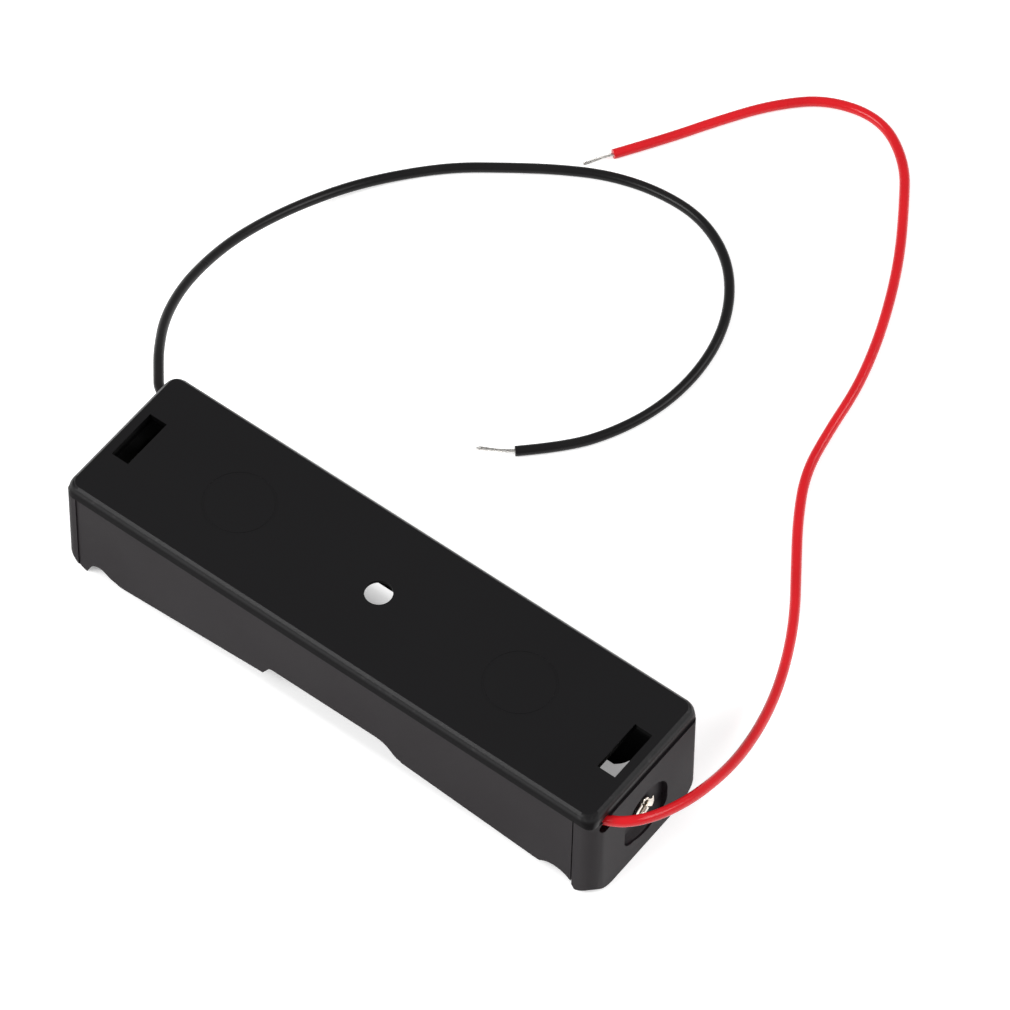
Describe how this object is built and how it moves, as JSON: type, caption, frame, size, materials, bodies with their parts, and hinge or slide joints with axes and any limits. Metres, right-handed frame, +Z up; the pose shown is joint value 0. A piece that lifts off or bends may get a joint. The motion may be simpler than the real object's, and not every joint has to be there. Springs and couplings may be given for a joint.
{
  "type": "cylindrical battery holder",
  "caption": "Open tray holder for a cylindrical 18650-size cell, with a coil spring, a bowed leaf contact, hollow rivets in its end walls and insulated leads with stripped ends.",
  "frame": {"origin": "on the surface that the tray's open side rests on, under the middle of the tray", "axes": "+X along the cell towards the positive end, +Z up through the base, which is on top as the holder lies in the picture"},
  "size_m": [0.0954, 0.113, 0.0166],
  "materials": {
    "tray_plastic": "moulded black plastic, satin with a fine spark-eroded grain",
    "nickel_strip": "nickel-plated steel strip",
    "spring_wire": "nickel-plated spring wire",
    "rivet_nickel": "bright nickel plate, scuffed where it was flared",
    "solder": "smooth solder",
    "red_insulation": "soft red PVC, satin",
    "black_insulation": "soft black PVC, satin",
    "tinned_strands": "tinned copper strands, lightly twisted"
  },
  "bodies": {
    "root": {"holder_tray": "tray_plastic", "positive_contact": "nickel_strip", "negative_contact": "nickel_strip", "negative_spring": "spring_wire", "positive_rivet": "rivet_nickel", "negative_rivet": "rivet_nickel", "positive_solder": "solder", "negative_solder": "solder", "red_lead": "red_insulation", "black_lead": "black_insulation", "red_lead_strands": "tinned_strands", "black_lead_strands": "tinned_strands"}
  },
  "joints": []
}
